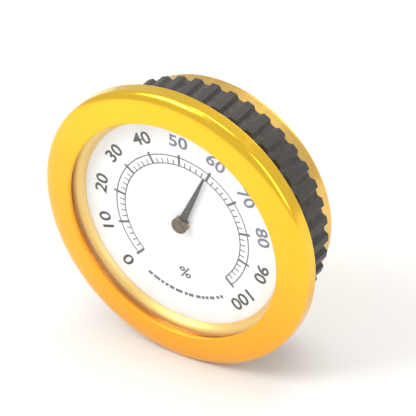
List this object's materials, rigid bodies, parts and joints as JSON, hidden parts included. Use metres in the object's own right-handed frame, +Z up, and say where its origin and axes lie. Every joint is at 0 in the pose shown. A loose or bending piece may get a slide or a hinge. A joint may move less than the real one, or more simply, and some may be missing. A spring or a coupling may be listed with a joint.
{
  "type": "dial hygrometer",
  "caption": "Small round panel hygrometer: domed gold-coloured bezel, window, white dial with black pointer, and a cup case with a slotted calibration stud behind.",
  "frame": {"origin": "centre of the panel hole, in the plane of the flange's back face, which rests on the panel", "axes": "+Y from the dial into the panel, so the dial faces -Y; +Z up; +X to the right of someone facing the dial"},
  "size_m": [0.038, 0.0131, 0.038],
  "materials": {
    "lacquered_brass": "turned, polished and lacquered",
    "case_brass": "drawn and lacquered",
    "plain_brass": "turned, unlacquered",
    "bright_steel": "bright zinc plate",
    "clear_glass": "clear, polished",
    "white_enamel": "satin white enamel on aluminium",
    "black_paint": "satin black",
    "dark_bronze": "darkened, polished",
    "humidity_strip": "treated paper bonded to metal foil",
    "soft_vinyl": "matte"
  },
  "bodies": {
    "case": {"bezel": "lacquered_brass", "lens": "clear_glass", "spacer_ring": "lacquered_brass", "dial_plate": "white_enamel", "dial_foot_right": "plain_brass", "dial_foot_left": "plain_brass", "movement_plate": "plain_brass", "front_bush": "plain_brass", "plate_screw_1": "bright_steel", "plate_screw_2": "bright_steel", "plate_screw_3": "bright_steel", "pillar_1": "plain_brass", "pillar_2": "plain_brass", "pillar_3": "plain_brass", "case_can": "case_brass", "case_screw_1": "bright_steel", "case_screw_2": "bright_steel", "case_screw_3": "bright_steel", "grip_ring": "soft_vinyl", "friction_washer": "bright_steel"},
    "calibration": {"calibration_stud": "plain_brass", "anchor_arm": "plain_brass", "anchor_rivet": "bright_steel", "stud_retainer": "bright_steel", "hygro_coil": "humidity_strip"},
    "pointer": {"arbor": "bright_steel", "pointer": "black_paint", "pointer_boss": "dark_bronze", "coil_collet": "plain_brass"}
  },
  "joints": [
    {"name": "calibration_turn", "type": "hinge", "parent": "case", "child": "calibration", "pos_m": [0, 0.0095, 0], "axis": [0, 1, 0], "range_deg": [-48, 48]},
    {"name": "pointer_turn", "type": "hinge", "parent": "calibration", "child": "pointer", "pos_m": [0, 0, 0], "axis": [0, 1, 0], "range_deg": [-160.5, 109.5], "stiffness_Nm_per_rad": 0.0001, "deforming": ["hygro_coil"]}
  ]
}
